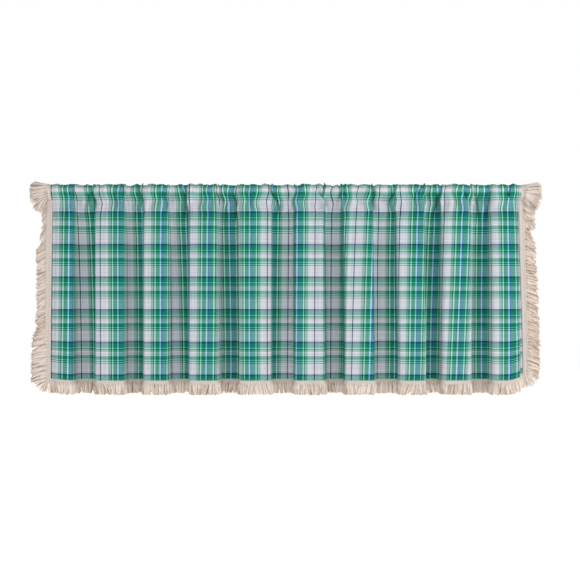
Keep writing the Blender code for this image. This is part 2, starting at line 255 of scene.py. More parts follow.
def wall_between(before, after):
    """Shares of the run and rise between two folds, at equal steps of cloth.

    The cloth goes level, round a bend, steeply, round a bend and level again.
    """
    run = after.across - before.across
    rise = abs(after.forward - before.forward)
    cloth = after.cloth - before.cloth
    middle = run * before.wide / (before.wide + after.wide) + (cloth - run) / 2
    low, high = -WALL_BEND, cloth / 2
    for _ in range(WALL_TRIES):
        half = (low + high) / 2
        path = [(0.0, 0.0)]
        for step in range(WALL_STEPS):
            from_middle = abs(cloth * (step + 0.5) / WALL_STEPS - middle)
            slope = WALL_STEEPEST * smooth((half + WALL_BEND - from_middle) / WALL_BEND)
            path.append((path[-1][0] + math.cos(slope), path[-1][1] + math.sin(slope)))
        end_run, end_rise = path[-1]
        if end_rise * run > rise * end_run:
            high = half
        else:
            low = half
    shares = [(along / end_run, climb / end_rise) for along, climb in path]
    reach = half + WALL_BEND
    return Wall(shares, run * WALL_STEPS / end_run, (middle - reach) / cloth, (middle + reach) / cloth)


WALLS = [wall_between(before, after) for before, after in zip(FOLDS, FOLDS[1:])]
FOLD_CLOTH = [fold.cloth for fold in FOLDS]


def wall_of(flat):
    """Which wall a flat place lies on, and its share of the way along it."""
    at = min(max(flat / MM, 0), FOLD_CLOTH[-1])
    index = max(bisect_left(FOLD_CLOTH, at) - 1, 0)
    return index, (at - FOLD_CLOTH[index]) / (FOLD_CLOTH[index + 1] - FOLD_CLOTH[index])


def fold_at(flat):
    """Place across, stand forward, drift at the hem and steepness, 0 to 1, at a flat place on the cloth."""
    index, share = wall_of(flat)
    before, after, path = FOLDS[index], FOLDS[index + 1], WALLS[index].path
    step = min(int(share * WALL_STEPS), WALL_STEPS - 1)
    part = share * WALL_STEPS - step
    run = path[step][0] * (1 - part) + path[step + 1][0] * part
    rise = path[step][1] * (1 - part) + path[step + 1][1] * part
    return (
        (before.across + (after.across - before.across) * run) * MM,
        (before.forward + (after.forward - before.forward) * rise) * MM,
        (before.drift + (after.drift - before.drift) * share) * MM,
        math.sin(math.pi * share),
    )


def woven_at(flat):
    """The stripes' measure and their slips at top and hem. The slips change only on the walls."""
    index, share = wall_of(flat)
    wall = WALLS[index]
    spare = FOLD_CLOTH[index + 1] - FOLD_CLOTH[index] - wall.length
    steep = smooth((share - wall.steep_from) / (wall.steep_to - wall.steep_from))
    before, after = FOLDS[index], FOLDS[index + 1]
    top = before.slip_top * (1 - steep) + after.slip_top * steep
    low = before.slip_low * (1 - steep) + after.slip_low * steep
    return (FOLD_CLOTH[index] + wall.length * share + spare * steep) * MM, top * MM, low * MM


Gather = namedtuple("Gather", "flat height")


def gather_rows():
    """The gathers' tops and bottoms in turn, uneven in pitch and size, and deepest on the steep walls."""
    turns = [1.7 * index + math.sin(0.61 * index) for index in range(2 * GATHERS)]
    widths = [1 + GATHER_PITCH_SPREAD * math.sin(turn) for turn in turns]
    rows = [Gather(0.0, 0.0)]
    for index, width in enumerate(widths):
        flat = rows[-1].flat + FLAT_WIDTH * width / sum(widths)
        size = 1 - GATHER_SIZE_SPREAD + GATHER_SIZE_SPREAD * math.sin(1.1 * index + 0.5)
        steep = GATHER_LEAST + (1 - GATHER_LEAST) * fold_at(flat)[3]
        rows.append(Gather(flat, GATHER_HEIGHT * size * steep * (-1) ** index))
    return rows


GATHER_ROWS = gather_rows()
GATHER_PLACES = [row.flat for row in GATHER_ROWS]


def gather_at(flat):
    """The puckers' height at a flat place."""
    flat = min(max(flat, 0.0), GATHER_PLACES[-1])
    index = min(max(bisect_left(GATHER_PLACES, flat) - 1, 0), len(GATHER_ROWS) - 2)
    low, high = GATHER_ROWS[index], GATHER_ROWS[index + 1]
    share = smooth((flat - low.flat) / (high.flat - low.flat))
    return low.height * (1 - share) + high.height * share


def pucker_at(flat, height):
    """The gathers and the finer puckers at a height, the gathers leaning a little this way and that."""
    lean = GATHER_LEAN * math.sin(LEAN_WAVES * flat) * (height + POCKET_DROP) / POCKET_DROP
    fine = ripple(CRIMP, flat, height) * smooth((height + POCKET_DROP) / POCKET_DROP)
    fine += ripple(PUCKER, flat, height)
    return gather_at(flat + lean) + fine * smooth(min(flat, FLAT_WIDTH - flat) / CALM_EDGE)


def pinched(across, height):
    """How far the pinches draw a place on the front sideways and push it back."""
    aside = back = 0.0
    for pinch in PINCHES:
        above = height / MM - pinch.height
        from_middle = across / MM - pinch.across - pinch.lean * above
        if abs(from_middle) > PINCH_REACH * pinch.wide:
            continue
        tall = above / (pinch.up if above > 0 else pinch.down)
        near = math.exp(-tall * tall)
        wide = from_middle / pinch.wide
        back += pinch.deep * near * math.exp(-wide * wide)
        aside -= pinch.draw * near * wide * math.exp(-wide * wide / 2)
    return aside * MM, back * MM


def panel_point(flat, drop):
    """The middle of the cloth at a flat place and a drop below the stitch line."""
    across, forward, drift, _ = fold_at(flat)
    share = drop / PANEL_LENGTH
    height = -POCKET_DROP - drop
    fade = 1 - smooth(drop / GATHER_FADE)
    stand = forward * from_rows(FOLD_DEPTHS, "share", drop / MM)
    stand += pucker_at(flat, height) * fade if fade else 0
    stand += ripple(SLACK, flat, height) * smooth(drop / GATHER_FADE) * (1 - share)
    left = smooth(1 - flat / CORNER_REACH) * LEFT_CORNER_RISE
    right = smooth(1 - (FLAT_WIDTH - flat) / CORNER_REACH) * RIGHT_CORNER_RISE
    low = smooth((share - CORNER_RISE_FROM) / (1 - CORNER_RISE_FROM))
    aside, back = pinched(across, height)
    wander = ripple(WANDER, flat, height) * (1 - smooth(drop / RIPPLE_FADE)) * edge_share(flat)
    x = across + drift * smooth(share) + aside + wander
    return Vector((x, back - stand, height + (left + right) * low))


def edge_share(flat):
    """0 at the cloth's two side edges, where the trim holds it, and 1 between them."""
    return smooth(min(flat, FLAT_WIDTH - flat) / CORNER_REACH)


def face_at(flat, drop):
    """Level, square to the panel, on its front side."""
    step = 2 * MM
    along = panel_point(min(flat + step, FLAT_WIDTH), drop) - panel_point(max(flat - step, 0), drop)
    return Vector((along.y, -along.x, 0)).normalized()


def pocket_loop(flat, pucker):
    """The solids' section of the pocket, at the middle of its cloth, from the front stitch to the back."""
    across, forward, _, _ = fold_at(flat)
    inset = CLOTH_THICK / 2
    stand = forward * FOLD_DEPTHS[0].share
    most = MOST_FORWARD * FOLD_DEPTHS[0].share
    seam = -stand - pucker
    front = POCKET_RADIUS + POCKET_FRONT.folds * (most + stand) + POCKET_FRONT.puckers * pucker - inset
    top = POCKET_TOP.folds * (most + stand) + POCKET_TOP.puckers * (pucker - GATHER_HEIGHT) - inset
    back = POCKET_RADIUS + POCKET_BACK.folds * (most - stand) + POCKET_BACK.puckers * pucker - inset
    centre = -POCKET_RADIUS
    half_seam = POCKET_SEAM_THICK / 2 - inset
    seam_low = -POCKET_DROP + POCKET_SEAM_HEIGHT * inset / CLOTH_THICK
    slant = math.cos(math.radians(SHOULDER_TURN))
    shoulder = centre + (top - centre) * slant
    waist_front = -front * POCKET_WAIST_SHARE + seam * (1 - POCKET_WAIST_SHARE)
    waist_back = back * POCKET_WAIST_SHARE + seam * (1 - POCKET_WAIST_SHARE)
    lead = seam_low - POCKET_DROP / 6
    loop = (
        (seam - half_seam / 2, lead),
        (seam - half_seam, seam_low),
        (waist_front, POCKET_WAIST),
        (-front, centre),
        (-front * slant, shoulder),
        (0.0, top),
        (back * slant, shoulder),
        (back, centre),
        (waist_back, POCKET_WAIST),
        (seam + half_seam, seam_low),
        (seam + half_seam, lead),
    )
    return [Vector((across, y, z)) for y, z in loop]


# Places on the pocket's loop run from 0 at the front stitch to 8 at the back one. The pinches fade from one
# place over the next few, and come back near the back stitch.
LOOP_PARTS = 8
PINCH_FADE_FROM = 2
PINCH_FADE_OVER = 2
PINCH_BACK_PLACES = 1.2
LOOP_HEIGHTS = (-POCKET_DROP, POCKET_WAIST, -POCKET_RADIUS, -POCKET_RADIUS / 3, 0)


def loop_height(place):
    """About how high a place on the loop lies."""
    place = min(place, LOOP_PARTS - place)
    index = min(int(place), len(LOOP_HEIGHTS) - 2)
    part = place - index
    return LOOP_HEIGHTS[index] * (1 - part) + LOOP_HEIGHTS[index + 1] * part


def pocket_point(flat, place):
    """A point of the pocket's cloth on a smooth curve through the section."""
    height = loop_height(place)
    loop = pocket_loop(flat, pucker_at(flat, height))
    index = min(int(place), LOOP_PARTS - 1)
    part = place - index
    before, start, end, after = loop[index : index + 4]
    point = start * (2 - 5 * part**2 + 3 * part**3) + end * (part + 4 * part**2 - 3 * part**3)
    point = (point + before * (-part + 2 * part**2 - part**3) + after * (part**3 - part**2)) / 2
    aside, back = pinched(point.x, height)
    hold = 1 - smooth((place - PINCH_FADE_FROM) / PINCH_FADE_OVER)
    behind = smooth((place - LOOP_PARTS + PINCH_BACK_PLACES) / PINCH_BACK_PLACES)
    wander = ripple(WANDER, flat, height) * edge_share(flat)
    point.x += aside * max(hold, behind) + wander
    point.y += back * max(hold, behind)
    return point


# Mesh helpers


def new_mesh(name, points, faces, materials, uvs=None, tones=None, picks=None):
    """A smooth-shaded piece. uvs and tones go by point, and picks holds each face's material."""
    mesh = bpy.data.meshes.new(name)
    mesh.from_pydata([tuple(point) for point in points], [], faces)
    for material in materials:
        mesh.materials.append(material)
    if picks:
        mesh.polygons.foreach_set("material_index", picks)
    if uvs:
        layer = mesh.uv_layers.new(name="flat")
        for loop in mesh.loops:
            layer.data[loop.index].uv = uvs[loop.vertex_index]
    if tones:
        attribute = mesh.attributes.new("tone", "FLOAT", "POINT")
        attribute.data.foreach_set("value", tones)
    mesh.shade_smooth()
    piece = bpy.data.objects.new(name, mesh)
    bpy.context.scene.collection.objects.link(piece)
    return piece


class Graph:
    """A material's nodes, made and joined with few words."""

    def __init__(self, name):
        self.material = bpy.data.materials.new(name)
        self.material.use_nodes = True
        self.nodes = self.material.node_tree.nodes
        self.links = self.material.node_tree.links
        self.shader = self.nodes["Principled BSDF"]

    def join(self, value, socket):
        if isinstance(value, bpy.types.NodeSocket):
            self.links.new(value, socket)
        elif value is not None:
            socket.default_value = value

    def math(self, operation, first, second=None, third=None):
        node = self.nodes.new("ShaderNodeMath")
        node.operation = operation
        for value, socket in zip((first, second, third), node.inputs):
            self.join(value, socket)
        return node.outputs[0]

    def mix(self, share, first, second, blend="MIX"):
        node = self.nodes.new("ShaderNodeMix")
        node.data_type = "RGBA"
        node.blend_type = blend
        self.join(share, node.inputs["Factor"])
        self.join(first, node.inputs[6])
        self.join(second, node.inputs[7])
        return node.outputs[2]

    def noise(self, place, scale, detail=2.0):
        node = self.nodes.new("ShaderNodeTexNoise")
        self.join(place, node.inputs["Vector"])
        node.inputs["Scale"].default_value = scale
        node.inputs["Detail"].default_value = detail
        return node.outputs["Fac"]

    def streaks(self, first, second, first_scale, second_scale):
        """Noise with a scale of its own along each of two measures."""
        scaled = (self.math("MULTIPLY", first, first_scale), self.math("MULTIPLY", second, second_scale))
        return self.noise(self.place(*scaled), 1.0)

    def chance(self, place):
        """A number from 0 to 1 by chance, one for each value of the place."""
        node = self.nodes.new("ShaderNodeTexWhiteNoise")
        node.noise_dimensions = "1D"
        self.join(place, node.inputs["W"])
        return node.outputs["Value"]

    def place(self, x, y, z=0.0):
        node = self.nodes.new("ShaderNodeCombineXYZ")
        for value, socket in zip((x, y, z), node.inputs):
            self.join(value, socket)
        return node.outputs[0]

    def flat(self):
        """The flat cloth's u and v, in metres."""
        node = self.nodes.new("ShaderNodeUVMap")
        node.uv_map = "flat"
        parts = self.nodes.new("ShaderNodeSeparateXYZ")
        self.links.new(node.outputs[0], parts.inputs[0])
        return parts.outputs[0], parts.outputs[1]

    def tone(self):
        node = self.nodes.new("ShaderNodeAttribute")
        node.attribute_name = "tone"
        return node.outputs["Fac"]

    def bump(self, height, strength, distance):
        node = self.nodes.new("ShaderNodeBump")
        node.inputs["Strength"].default_value = strength
        node.inputs["Distance"].default_value = distance
        self.join(height, node.inputs["Height"])
        self.links.new(node.outputs[0], self.shader.inputs["Normal"])

    def to_light(self, colour):
        """Colours are mixed as seen, and turned to light at the end."""
        node = self.nodes.new("ShaderNodeGamma")
        self.join(colour, node.inputs["Color"])
        node.inputs["Gamma"].default_value = SEEN_TO_LIGHT
        return node.outputs[0]


SEEN_TO_LIGHT = 2.2


def seen(red, green, blue):
    """A colour as it looks, from 0 to 255."""
    return (red / 255, green / 255, blue / 255, 1.0)


# Plaid. A stripe's width is in millimetres of flat cloth.

WHITE = seen(187, 188, 195)
GREEN = seen(2, 105, 78)
TEAL = seen(4, 107, 88)
DARK_GREEN = seen(2, 52, 42)
LIGHT_GREEN = seen(86, 148, 130)
MINT = seen(142, 212, 190)
SKY = seen(140, 200, 226)
BLUE = seen(16, 74, 134)
NAVY = seen(20, 26, 54)
INK = seen(0, 20, 80)
SLATE = seen(44, 74, 96)

Stripe = namedtuple("Stripe", "width colour")
WARP = (
    Stripe(2.0, NAVY),
    Stripe(16.2, WHITE),
    Stripe(5.6, LIGHT_GREEN),
    Stripe(2.1, DARK_GREEN),
    Stripe(2.5, MINT),
    Stripe(9.2, GREEN),
    Stripe(2.4, SKY),
    Stripe(3.4, BLUE),
    Stripe(9.2, TEAL),
    Stripe(2.5, MINT),
    Stripe(2.1, DARK_GREEN),
    Stripe(5.2, LIGHT_GREEN),
    Stripe(14.0, WHITE),
)
WEFT = (
    Stripe(3.8, INK),
    Stripe(9.2, GREEN),
    Stripe(1.8, MINT),
    Stripe(2.3, DARK_GREEN),
    Stripe(4.4, LIGHT_GREEN),
    Stripe(9.4, WHITE),
    Stripe(8.1, GREEN),
    Stripe(1.9, MINT),
    Stripe(2.1, DARK_GREEN),
    Stripe(2.2, MINT),
    Stripe(2.0, SLATE),
    Stripe(22.9, WHITE),
)
WARP_FROM = 3.6 * MM
WEFT_FROM = -10.1 * MM
WARP_SHARE = 0.58
WEAVE_CONTRAST = 0.2
THREAD = 0.55 * MM
THREAD_TONE = 0.14
SLUB_TONE = 0.1
SLUBS_ACROSS = 900
SLUBS_ALONG = 30


def stripes(graph, place, rows, start):
    """The colour of a set of stripes that repeats along a measure of the flat cloth."""
    whole = sum(row.width for row in rows)
    shifted = graph.math("SUBTRACT", place, start)
    turn = graph.math("FRACT", graph.math("DIVIDE", shifted, whole * MM))
    ramp = graph.nodes.new("ShaderNodeValToRGB")
    ramp.color_ramp.interpolation = "CONSTANT"
    graph.links.new(turn, ramp.inputs[0])
    stops = ramp.color_ramp.elements
    stops[0].color = rows[0].colour
    stops[1].position = rows[0].width / whole
    stops[1].color = rows[1].colour
    at = rows[0].width + rows[1].width
    for row in rows[2:]:
        stop = stops.new(at / whole)
        stop.color = row.colour
        at += row.width
    return ramp.outputs[0]


def plaid_cloth():
    """Plain weave of dyed yarns: a warp and a weft of stripes, mixed thread by thread."""
    graph = Graph("plaid_weave")
    u, v = graph.flat()
    warp = stripes(graph, u, WARP, WARP_FROM)
    weft = stripes(graph, v, WEFT, WEFT_FROM)
    across = graph.math("DIVIDE", u, THREAD)
    down = graph.math("DIVIDE", v, THREAD)
    crossing = graph.math(
        "MULTIPLY",
        graph.math("SINE", graph.math("MULTIPLY", across, math.pi)),
        graph.math("SINE", graph.math("MULTIPLY", down, math.pi)),
    )
    over = graph.math("MULTIPLY_ADD", crossing, WEAVE_CONTRAST, 1 - WARP_SHARE)
    colour = graph.mix(over, warp, weft)
    yarns = graph.math(
        "ADD",
        graph.chance(graph.math("FLOOR", across)),
        graph.chance(graph.math("ADD", graph.math("FLOOR", down), 0.5)),
    )
    slubs = graph.math(
        "ADD",
        graph.streaks(u, v, SLUBS_ACROSS, SLUBS_ALONG),
        graph.streaks(u, v, SLUBS_ALONG, SLUBS_ACROSS),
    )
    tone = graph.math("MULTIPLY_ADD", graph.math("SUBTRACT", yarns, 1.0), THREAD_TONE, 1.0)
    tone = graph.math("ADD", tone, graph.math("MULTIPLY", graph.math("SUBTRACT", slubs, 1.0), SLUB_TONE))
    grey = graph.place(tone, tone, tone)
    shaded = graph.mix(1.0, colour, grey, "MULTIPLY")
    graph.links.new(graph.to_light(shaded), graph.shader.inputs["Base Color"])
    graph.shader.inputs["Roughness"].default_value = 0.88
    graph.shader.inputs["Specular IOR Level"].default_value = 0.2
    relief = graph.math("ADD", graph.math("ABSOLUTE", crossing), graph.math("MULTIPLY", slubs, 0.8))
    graph.bump(relief, 0.35, 0.15 * MM)
    return graph.material


CREAM = seen(238, 226, 216)
# The yarns' dark cream: their random tones and their painted shade, in the gaps, at the back and along the
# plies, mix towards it
CREAM_DEEP_AND_SHADED = seen(150, 126, 108)
CREAM_TAPE = seen(208, 198, 190)
# The tape's dark cream: its random grain and the painted shade of its ribs and rows mix towards it
CREAM_TAPE_DEEP_AND_SHADED = seen(166, 154, 144)
THREAD_CREAM = seen(236, 228, 216)
THREAD_GREEN = seen(150, 186, 176)
YARN_TWIST = 2.4 * MM
YARN_FLUFF = 1400
TAPE_RIB = 1.1 * MM
TAPE_ROW = 2.2 * MM
TAPE_GRAIN_ALONG = 160
TAPE_GRAIN_ACROSS = 900
THREAD_TWIST = 0.8 * MM


def brush_yarn():
    """Soft two-ply cotton yarn: u is round the yarn, 0 to 1, and v along it in metres."""
    graph = Graph("fringe_yarn")
    around, along = graph.flat()
    turns = graph.math("ADD", graph.math("MULTIPLY", around, 2.0), graph.math("DIVIDE", along, YARN_TWIST))
    ply = graph.math("SINE", graph.math("MULTIPLY", turns, 2 * math.pi))
    tone = graph.tone()
    place = graph.nodes.new("ShaderNodeTexCoord").outputs["Object"]
    fluff = graph.noise(place, YARN_FLUFF, 3.0)
    # Painted shade along the twist of the plies, with a random fluffy tone
    depth = graph.math("MULTIPLY_ADD", ply, 0.1, graph.math("MULTIPLY_ADD", fluff, 0.4, -0.2))
    share = graph.math("ADD", tone, depth)
    share = graph.math("MINIMUM", graph.math("MAXIMUM", share, 0.0), 1.0)
    colour = graph.mix(share, CREAM_DEEP_AND_SHADED, CREAM)
    graph.links.new(graph.to_light(colour), graph.shader.inputs["Base Color"])
    graph.shader.inputs["Roughness"].default_value = 0.95
    graph.shader.inputs["Specular IOR Level"].default_value = 0.15
    graph.shader.inputs["Sheen Weight"].default_value = 0.1
    graph.bump(graph.math("ADD", ply, fluff), 0.5, 0.2 * MM)
    return graph.material


def woven_tape():
    """The fringe's woven head: u runs along it and v across it, in metres."""
    graph = Graph("fringe_tape")
    along, out = graph.flat()
    ribs = graph.math("SINE", graph.math("MULTIPLY", along, 2 * math.pi / TAPE_RIB))
    rows = graph.math("SINE", graph.math("MULTIPLY", out, 2 * math.pi / TAPE_ROW))
    grain = graph.streaks(along, out, TAPE_GRAIN_ALONG, TAPE_GRAIN_ACROSS)
    # Painted shade along the tape's ribs and rows, with a random grain
    share = graph.math("MULTIPLY_ADD", graph.math("MULTIPLY", ribs, rows), 0.12, grain)
    share = graph.math("MULTIPLY_ADD", rows, 0.12, share)
    share = graph.math("MINIMUM", graph.math("MAXIMUM", graph.math("ADD", share, 0.2), 0.0), 1.0)
    colour = graph.mix(share, CREAM_TAPE_DEEP_AND_SHADED, CREAM_TAPE)
    graph.links.new(graph.to_light(colour), graph.shader.inputs["Base Color"])
    graph.shader.inputs["Roughness"].default_value = 0.92
    graph.shader.inputs["Specular IOR Level"].default_value = 0.15
    graph.bump(graph.math("MULTIPLY_ADD", ribs, 0.6, rows), 0.4, 0.2 * MM)
    return graph.material


def sewing_thread(name, colour):
    """Twisted thread: u is round it and v along it in metres."""
    graph = Graph(name)
    around, along = graph.flat()
    turns = graph.math("ADD", around, graph.math("DIVIDE", along, THREAD_TWIST))
    ply = graph.math("SINE", graph.math("MULTIPLY", turns, 2 * math.pi))
    # Painted shade along the thread's twist
    shade = graph.math("MULTIPLY_ADD", ply, 0.06, 0.94)
    mixed = graph.mix(1.0, colour, graph.place(shade, shade, shade), "MULTIPLY")
    graph.links.new(graph.to_light(mixed), graph.shader.inputs["Base Color"])
    graph.shader.inputs["Roughness"].default_value = 0.7
    graph.bump(ply, 0.3, 0.1 * MM)
    return graph.material


# Cloth piece


def panel_drops():
    return [PANEL_LENGTH * (index / PANEL_ROWS) ** PANEL_CROWDING for index in range(PANEL_ROWS, 0, -1)]


def build_cloth(material):
    """One sheet from the hem up the front, over the rod's place and down the back to the stitch line.

    The woven rows lie level on the panel and the pocket's front, and true to the cloth's length from there.
    """
    drops = panel_drops()
    places = [step / POCKET_STEPS for step in range(LOOP_PARTS * POCKET_STEPS + 1)]
    points, uvs = [], []
    for column in range(COLUMNS + 1):
        flat = FLAT_WIDTH * column / COLUMNS
        rows = [panel_point(flat, drop) for drop in drops]
        rows += [pocket_point(flat, place) for place in places]
        turned = rows[-1] + DOWN * TURNED_EDGE
        rows.append(turned)
        measures = [POCKET_DROP + drop for drop in drops]
        measure = POCKET_DROP
        for index, place in enumerate(places):
            if index:
                step = rows[len(drops) + index] - rows[len(drops) + index - 1]
                measure -= step.z if place <= LEVEL_PLACES else step.length
            measures.append(measure)
        measures.append(measure - TURNED_EDGE)
        points += rows
        woven, top, low = woven_at(flat)
        for measure in measures:
            share = max(measure, 0) / HEM_DROP
            uvs.append((woven + top * (1 - share) ** 2 + low * share, measure))
    tall = len(drops) + len(places) + 1
    faces = []
    for column in range(COLUMNS):
        for row in range(tall - 1):
            first = column * tall + row
            faces.append((first, first + tall, first + tall + 1, first + 1))
    piece = new_mesh("valance_cloth", points, faces, [material], uvs)
    solid = piece.modifiers.new("woven", "SOLIDIFY")
    solid.thickness = WOVEN_THICK
    solid.offset = 0
    return piece


# Fringe. A station is a place on the sewn edge, the way out from the cloth and the way to the front. Its lap
# is how much of the tape goes behind the cloth, or before it where it is below 0. Its hang is the run of its
# yarns from the tape's edge to their tips.

Station = namedtuple("Station", "place out face lap hang")

TAPE_SETBACK = 1.2 * MM
TAPE_HALF = 0.8 * MM
TAPE_SETTLE = 8
TAPE_LEAST_STEP = 0.3 * MM
TAPE_RUNS = (-3, -1, 1, 3.2, 5.4, 7.6, 9.4, 10.3)

YARN_PITCH = 1.9 * MM
YARN_RADIUS = 0.92 * MM
YARN_SIDES = 5
YARN_PARTS = 5
YARN_ROOT = 0.2 * MM
YARN_ROOT_WIDTH = 0.85
YARN_BELLY = 0.25
YARN_TIP_WIDTH = 0.7
YARN_TONE = 0.08
YARN_WAVES = 1.25
LOCK_PITCH = 6.4 * MM
LOCK_COUNT_SPREAD = 1.4
LOCK_GATHER = 0.42
LOCK_UNEVEN = 0.04
YARN_UNEVEN = 0.04
YARN_STRAY = 0.6 * MM
YARN_STRAY_DOWN = 0.4
YARN_WAVE = 0.45 * MM
LOCK_TONES = (0.78, 1.1)
# Painted shade: how much darker one side of a lock is, and how much darker the back layers are
GAP_SHADES = (0.25, 1.0)
BACK_SHADE = 0.3
LAYER_SPREAD = 0.05
SIDE_SAG = 1.4


def sway(place, size):
    """A slow uneven lean along the fringe."""
    return size * (0.6 * math.sin(3.1 * place + 0.4) + 0.4 * math.sin(1.27 * place + 2.0))


def sideways(face, side):
    """Level and along the cloth, away from its middle: side is -1 at the left and 1 at the right."""
    return Vector((-face.y, face.x, 0)) * side


def hem_stations():
    """Along the hem, left to right."""
    stations = []
    for index in range(COLUMNS + 1):
        flat = FLAT_WIDTH * index / COLUMNS
        face = face_at(flat, PANEL_LENGTH)
        at = flat / SOLID_LOCK
        lean = sideways(face, 1) * sway(at * 0.21, HEM_SWAY) + face * sway(at * 0.13, HEM_SWAY_OUT)
        hang = (DOWN + lean * edge_share(flat)).normalized() * HEM_LOCK_LENGTH
        stations.append(Station(panel_point(flat, PANEL_LENGTH), DOWN, face, 1.0, hang))
    return stations


CORNER_STEPS = 12


def corner_stations(flat, side):
    """Round the hem's corner, from the side's way out towards straight down."""
    place = panel_point(flat, PANEL_LENGTH)
    face = face_at(flat, PANEL_LENGTH)
    level = sideways(face, side)
    stations = []
    for index in range(CORNER_STEPS + 1):
        share = index / CORNER_STEPS
        turn = math.radians(90) * share
        out = level * math.cos(turn) + DOWN * math.sin(turn)
        low = math.radians(CORNER_DOWN + (90 - CORNER_DOWN) * share)
        length = CORNER_LOCK_LENGTH + (HEM_LOCK_LENGTH - CORNER_LOCK_LENGTH) * share
        hang = (level * math.cos(low) + DOWN * math.sin(low)) * length
        stations.append(Station(place, out, face, 0.0, hang))
    return stations


SIDE_STEPS = 120
SIDE_LAP = 3 * MM


def side_stations(flat, side, rows):
    """Down one side, from the stitch line to the corner."""
    stations = []
    for index in range(SIDE_STEPS + 1):
        drop = (PANEL_LENGTH + SIDE_LAP) * index / SIDE_STEPS - SIDE_LAP
        face = face_at(flat, drop)
        place = panel_point(flat, drop)
        level = sideways(face, side)
        at = -place.z / MM
        out = level * from_rows(rows, "out", at)
        back = face * -from_rows(rows, "back", at)
        down = DOWN * from_rows(rows, "down", at) * SIDE_SAG
        stations.append(Station(place, level, face, -1.0, (out + back + down) * MM))
    return stations


TUFT_STEPS = 40


def tuft_stations(flat, side):
    """Round the pocket's mouth, from its front stitch over to its back one."""
    fine = 4
    loop = [pocket_point(flat, place / fine) for place in range(LOOP_PARTS * fine + 1)]
    lengths = [(after - before).length for before, after in zip(loop, loop[1:])]
    whole = sum(lengths)

    def on_loop(share):
        left = share * whole
        for index, length in enumerate(lengths):
            if left <= length or index == len(lengths) - 1:
                return loop[index].lerp(loop[index + 1], left / length)
            left -= length

    level = Vector((side, 0, 0))
    stations = []
    for index in range(TUFT_STEPS + 1):
        share = index / TUFT_STEPS
        along = on_loop(min(share + TUFT_FACE_STEP, 1)) - on_loop(max(share - TUFT_FACE_STEP, 0))
        face = Vector((0, -along.z, along.y)).normalized()
        hang = math.radians(from_rows(TUFT_HANG, "down", share))
        way = level * math.cos(hang) + DOWN * math.sin(hang) + Vector((0, face.y * TUFT_FLARE, 0))
        length = from_rows(TUFT_HANG, "long", share) * MM
        stations.append(Station(on_loop(share), level, face, 1.0, way.normalized() * length))
    return stations


def tape_points(station):
    """The tape's section at a station: its front from the cloth outwards, then its back again."""
    front, back = [], []
    for run in TAPE_RUNS:
        reach = run * MM * (abs(station.lap) if run < 0 else 1)
        settle = smooth((run - TAPE_RUNS[0]) / TAPE_SETTLE)
        setback = TAPE_SETBACK * (1 - settle) * (-1 if station.lap < 0 else 1)
        middle = station.place + station.out * reach - station.face * setback
        thick = TAPE_HALF * (0.5 if run in (TAPE_RUNS[0], TAPE_RUNS[-1]) else 1)
        front.append(middle + station.face * thick)
        back.append(middle - station.face * thick)
    return front + back[::-1]


def blend(before, after, share):
    """A station between two others."""
    return Station(
        before.place.lerp(after.place, share),
        before.out.lerp(after.out, share).normalized(),
        before.face.lerp(after.face, share).normalized(),
        before.lap,
        before.hang.lerp(after.hang, share),
    )


def along_edge(stations, pitch):
    """Stations at an even pitch along the tape's outer edge."""
    edge = [station.place + station.out * TAPE_WIDTH for station in stations]
    lengths = [(after - before).length for before, after in zip(edge, edge[1:])]
    found, index, passed = [], 0, 0.0
    count = max(int(sum(lengths) / pitch), 1)
    step = sum(lengths) / count
    for number in range(count):
        at = (number + 0.5) * step
        while index < len(lengths) - 1 and passed + lengths[index] < at:
            passed += lengths[index]
            index += 1
        found.append(blend(stations[index], stations[index + 1], (at - passed) / lengths[index]))
    return found


class Bundle:
    """Collects tubes and strips into one mesh."""

    def __init__(self):
        self.points, self.faces, self.uvs, self.tones, self.picks = [], [], [], [], []

    def strip(self, sections, along, pick):
        """Joins closed sections into a capped strip. along holds each section's measure."""
        start, wide = len(self.points), len(sections[0])
        for section, measure in zip(sections, along):
            self.points += section
            for index in range(wide):
                across = (section[index] - section[0]).length
                self.uvs.append((measure, across))
                self.tones.append(1.0)
        for row in range(len(sections) - 1):
            for index in range(wide):
                a, b = start + row * wide + index, start + row * wide + (index + 1) % wide
                self.faces.append((a, a + wide, b + wide, b))
                self.picks.append(pick)
        last = start + (len(sections) - 1) * wide
        self.faces.append(tuple(start + index for index in range(wide)))
        self.faces.append(tuple(last + index for index in reversed(range(wide))))
        self.picks += [pick, pick]

    def tube(self, line, radii, tone, pick, sides=YARN_SIDES):
        """A round tube on a line of points, with a blunt closed end at both ends."""
        start = len(self.points)
        way = (line[-1] - line[0]).normalized()
        side = way.orthogonal().normalized()
        other = way.cross(side)
        along = 0.0
        for row, (middle, radius) in enumerate(zip(line, radii)):
            if row:
                along += (middle - line[row - 1]).length
            for index in range(sides):
                turn = 2 * math.pi * index / sides
                self.points.append(middle + (side * math.cos(turn) + other * math.sin(turn)) * radius)
                self.uvs.append((index / sides, along))
                self.tones.append(tone)
        for row in range(len(line) - 1):
            for index in range(sides):
                a, b = start + row * sides + index, start + row * sides + (index + 1) % sides
                self.faces.append((a, b, b + sides, a + sides))
                self.picks.append(pick)
        last = start + (len(line) - 1) * sides
        self.faces.append(tuple(start + index for index in reversed(range(sides))))
        self.faces.append(tuple(last + index for index in range(sides)))
        self.picks += [pick, pick]

    def piece(self, name, materials):
        return new_mesh(name, self.points, self.faces, materials, self.uvs, self.tones, self.picks)


def add_tape(bundle, stations):
    along, measures = 0.0, [0.0]
    for before, after in zip(stations, stations[1:]):
        along += max((after.place - before.place).length, TAPE_LEAST_STEP)
        measures.append(along)
    bundle.strip([tape_points(station) for station in stations], measures, 0)


